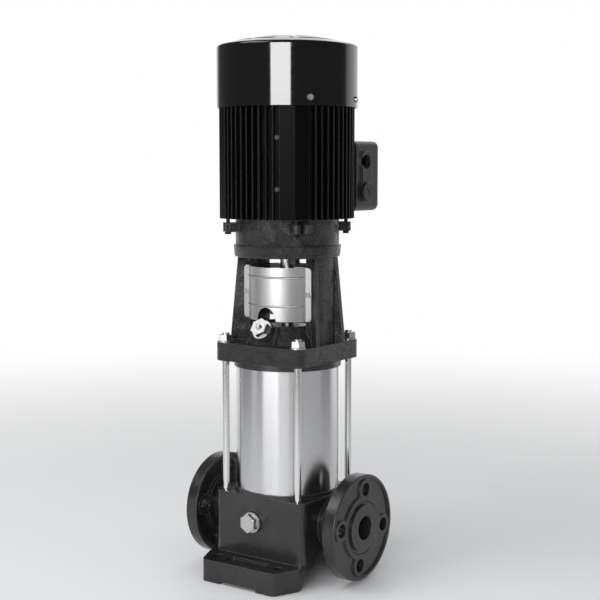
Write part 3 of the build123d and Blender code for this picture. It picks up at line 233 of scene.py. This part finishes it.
# Pale lines along the box's edges: a painted highlight.
painted_edge_highlights(box_grey, radius=0.0014, base=box_paint, highlight_colour=(0.12, 0.12, 0.125))
sleeve_steel = brushed(
    "sleeve_steel", (0.64, 0.64, 0.65), 0.23, (0.04, 0.04, 1), depth=0.000006, spread=0.05,
    Anisotropic=0.74, Anisotropic_Rotation=0.25,
)
sheet_steel = brushed(
    "sheet_steel", (0.54, 0.54, 0.55), 0.31, (0.03, 0.03, 1), depth=0.00001, spread=0.06,
    Anisotropic=0.85,
)
bright_steel = brushed("bright_steel", (0.58, 0.58, 0.58), 0.28, (1, 1, 1))
dull_steel = brushed("dull_steel", (0.035, 0.035, 0.037), 0.42, (1, 1, 1), depth=0.00004)
turned_steel = brushed("turned_steel", (0.5, 0.5, 0.5), 0.3, (0.2, 0.2, 1), depth=0.00001)
rod_steel = brushed(
    "rod_steel", (0.76, 0.76, 0.76), 0.14, (0.4, 0.4, 1), depth=0.000006, spread=0.04
)
lamination = brushed("lamination", (0.20, 0.20, 0.22), 0.45, (0.05, 0.05, 1), depth=0.0002)
copper = coated("copper", (0.45, 0.16, 0.05), 0.3, 300, depth=0.0003)
rubber = coated("rubber", (0.012, 0.012, 0.012), 0.7, 600)
carbon = coated("carbon", (0.03, 0.03, 0.032), 0.35, 600)
plastic = coated("plastic", (0.018, 0.018, 0.019), 0.4, 500)

stages = range(1, 6)
finishes = {
    cover_black: ["fan_cover"],
    motor_black: ["motor_frame", "non_drive_end_shield"],
    # The pump_head takes this black paint to stand in for the shadow under the head plate: painted
    # shade.
    base_black: ["pump_base", "inlet_flange", "outlet_flange", "neck_retaining_rings", "pump_head"],
    stool_black: ["motor_stool", "drive_end_shield"],
    box_grey: ["terminal_box", "terminal_box_cover"],
    sleeve_steel: ["outer_sleeve"],
    sheet_steel: [
        "coupling_guard_front", "coupling_guard_rear", "inlet_chamber", "discharge_chamber",
        *(f"stage_chamber_{n}" for n in stages), *(f"impeller_{n}" for n in stages),
    ],
    bright_steel: [
        "tie_rod_nuts", "tie_rod_washers", "drain_plug", "priming_plug", "vent_screw",
        "guard_screws", "cover_screws", "fan_cover_screws",
    ],
    dull_steel: ["frame_screws", "stool_bolts", "shield_bolts"],
    rod_steel: ["tie_rods"],
    turned_steel: [
        "motor_shaft", "pump_shaft", "coupling_half_front", "coupling_half_rear",
        "coupling_screws", "bearing_outer_rings", "bearing_inner_rings", "rotating_seal",
    ],
    lamination: ["stator_core", "rotor_core"],
    copper: ["stator_windings"],
    rubber: ["sleeve_seals", "drain_plug_seal", "priming_plug_seal", "terminal_box_gasket"],
    carbon: ["seal_seat", "bottom_bearing"],
    plastic: ["cooling_fan", "terminal_block", "cable_entry_plug"],
}
for finish, names in finishes.items():
    for name in names:
        nodes[name].material_slots[0].material = finish


# ---- studio -----------------------------------------------------------------------------
def either(tree, *rays):
    """1 for a ray of any of these kinds, and 0 for the others."""
    path = add(tree, "LightPath")
    total = path.outputs[rays[0]]
    for ray in rays[1:]:
        larger = fill_in_order(add(tree, "Math", operation="MAXIMUM"), total, path.outputs[ray])
        total = larger.outputs["Value"]
    return total


def backdrop(tree, direction, turn, near_grey, edge_from, edge_to):
    """White where it is seen straight or through glass. In reflections it is white round the
    level direction at this turn, and falls to the grey between two angles from it, in degrees.
    """
    along = fill_in_order(add(tree, "VectorMath", operation="NORMALIZE"), direction)
    towards = dot(tree, along.outputs["Vector"], level_towards(turn))
    edge = (cos(radians(edge_from)), cos(radians(edge_to)))
    reflected = remap(tree, towards, *edge, near_grey, curve="SMOOTHSTEP")
    return mix(tree, either(tree, "Is Camera Ray", "Is Transmission Ray"), reflected, 1.0)


floor_radius = 12
floor_drop = 0.0004  # below the feet, so that no two faces lie in one plane
floor_fade = (0.45, 2.2)  # from the shaft, where the floor turns into backdrop

bpy.ops.mesh.primitive_circle_add(
    vertices=96, radius=floor_radius, fill_type="NGON", location=(0, 0, -floor_drop)
)
floor = bpy.context.object
floor.name = "floor"
floor_paint = material("floor_paint", (0.84, 0.85, 0.86), 0.7)
floor.data.materials.append(floor_paint)

tree = floor_paint.node_tree
spot = add(tree, "TexCoord").outputs["Object"]
away = fill_in_order(add(tree, "VectorMath", operation="LENGTH"), spot).outputs["Value"]
faded = remap(tree, away, *floor_fade, curve="SMOOTHSTEP")
seen = either(tree, "Is Camera Ray", "Is Glossy Ray", "Is Transmission Ray")
ground = backdrop(tree, spot, turn=175, near_grey=0.24, edge_from=70, edge_to=52)
both = fill_in_order(
    add(tree, "MixShader"),
    times(tree, faded, seen),
    tree.nodes["Principled BSDF"].outputs["BSDF"],
    add(tree, "Emission", Strength=ground).outputs["Emission"],
)
fill(tree.nodes["Material Output"], Surface=both.outputs["Shader"])

world_light = 0.46  # on the object, from all round
world = bpy.data.worlds.new("studio")
bpy.context.scene.world = world
world.use_nodes = True
tree = world.node_tree
direction = add(tree, "TexCoord").outputs["Generated"]
seen = either(tree, "Is Camera Ray", "Is Glossy Ray", "Is Transmission Ray")
wall = backdrop(tree, direction, turn=160, near_grey=0.12, edge_from=58, edge_to=37)
fill(tree.nodes["Background"], Color=(1, 1, 1), Strength=mix(tree, seen, world_light, wall))


def softbox(name, turn, distance, height, aim, width, tall, level):
    """A lamp at this turn from the camera's side, aimed at a height on the shaft axis.
    Its level is its power over its area and pi.
    """
    lamp = bpy.data.lights.new(name, "AREA")
    lamp.shape = "RECTANGLE"
    lamp.size = width
    lamp.size_y = tall
    lamp.energy = level * pi * width * tall
    spot = level_towards(turn) * distance + upwards * height
    place(lamp, spot, upwards * aim - spot)


softbox("strip_box", -10.5, distance=2.6, height=0.9, aim=0.66, width=1.45, tall=0.44, level=14)
softbox("left_box", -38, distance=2.4, height=0.27, aim=0.27, width=1.5, tall=0.5, level=3.6)
softbox("side_box", -78, distance=2.4, height=0.27, aim=0.27, width=0.6, tall=0.5, level=0.9)
softbox("right_box", 55, distance=2.4, height=0.22, aim=0.22, width=2.2, tall=0.42, level=0.5)
softbox("top_box", -62, distance=1.6, height=2.0, aim=0.3, width=1.6, tall=1.2, level=3.6)
softbox("back_box", 160, distance=1.6, height=2.2, aim=0.3, width=1.4, tall=1.0, level=1.6)
